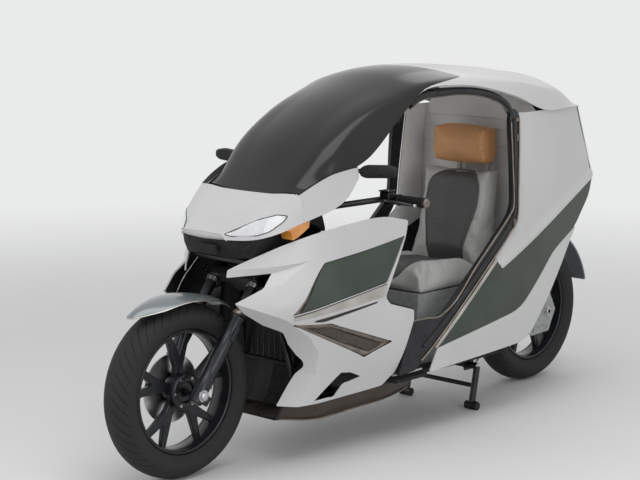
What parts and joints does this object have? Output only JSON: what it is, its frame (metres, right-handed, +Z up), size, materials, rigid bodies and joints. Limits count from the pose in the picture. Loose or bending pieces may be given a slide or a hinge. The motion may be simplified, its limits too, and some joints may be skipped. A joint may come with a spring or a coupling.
{
  "type": "roofed cabin motorcycle",
  "caption": "Two-wheeled motorcycle with a roof, dark windscreen, open sides, seat with backrest, steered front wheel and centre stand.",
  "frame": {"origin": "on the floor under the middle of the vehicle", "axes": "+X towards the front wheel, +Y to the rider's left, +Z up"},
  "size_m": [2.561, 0.882, 1.338],
  "materials": {
    "white_paint": "gloss",
    "green_paint": "satin",
    "slate_paint": "gloss",
    "screen": "gloss",
    "lamp_lens": "gloss",
    "lamp_amber": "gloss",
    "bright_metal": "satin",
    "lamp_red": "gloss",
    "black_plastic": "matte",
    "bronze_plastic": "satin",
    "grey_plastic": "matte",
    "black_metal": "satin",
    "steel": "satin",
    "tyre_rubber": "matte",
    "grip_rubber": "matte",
    "seat_leather": "satin",
    "tan_leather": "satin",
    "pale_metal": "satin"
  },
  "bodies": {
    "front_wheel": {"front_tyre": "tyre_rubber", "front_rim": "black_metal", "front_disc": "steel"},
    "rear_wheel": {"rear_tyre": "tyre_rubber", "rear_rim": "black_metal", "rear_disc": "steel"},
    "steering": {"fork_legs": "black_metal", "fork_clamps": "black_metal", "front_mudguard": "slate_paint", "front_calliper": "black_metal"},
    "bars": {"handlebar": "black_metal", "hand_grips": "grip_rubber", "hand_levers": "black_metal"},
    "stand": {"centre_stand": "black_metal"},
    "chassis": {"nose_cowl": "white_paint", "roof": "white_paint", "fairings": "white_paint", "tail_panels": "white_paint", "lower_trims": "white_paint", "fairing_inserts": "green_paint", "green_panels": "green_paint", "rear_mudguard": "slate_paint", "windscreen": "screen", "headlights": "lamp_lens", "indicators": "lamp_amber", "bright_strips": "bright_metal", "tail_lamp": "lamp_red", "nose_recess": "black_plastic", "dash": "black_plastic", "floor_board": "black_plastic", "fairing_vents": "black_plastic", "mirrors": "black_plastic", "rear_cowl": "black_plastic", "belly_pan": "bronze_plastic", "rear_bulkhead": "grey_plastic", "hub_cover": "grey_plastic", "frame": "black_metal", "swingarm": "black_metal", "door_frames": "black_metal", "motor_block": "black_metal", "seat_box": "black_metal", "seat_base": "seat_leather", "seat_back": "seat_leather", "headrest": "tan_leather", "headrest_post": "pale_metal"}
  },
  "joints": [
    {"name": "steering_turn", "type": "hinge", "parent": "chassis", "child": "steering", "pos_m": [0.9516, 0, 0.26822], "axis": [-0.6157, 0, 0.788], "range_deg": [-30, 30]},
    {"name": "bars_turn", "type": "hinge", "parent": "chassis", "child": "bars", "pos_m": [0.432, 0, 0.7], "axis": [-0.342, 0, 0.9397], "range_deg": [-30, 30]},
    {"name": "front_wheel_spin", "type": "hinge", "parent": "steering", "child": "front_wheel", "pos_m": [0.991, 0, 0.299], "axis": [0, 1, 0], "continuous": true},
    {"name": "rear_wheel_spin", "type": "hinge", "parent": "chassis", "child": "rear_wheel", "pos_m": [-0.946, 0, 0.299], "axis": [0, 1, 0], "continuous": true},
    {"name": "stand_swing", "type": "hinge", "parent": "chassis", "child": "stand", "pos_m": [-0.42, 0, 0.165], "axis": [0, 1, 0], "range_deg": [0, 80]}
  ],
  "couplings": [
    {"joint": "bars_turn", "follows": "steering_turn", "ratio": 1}
  ]
}
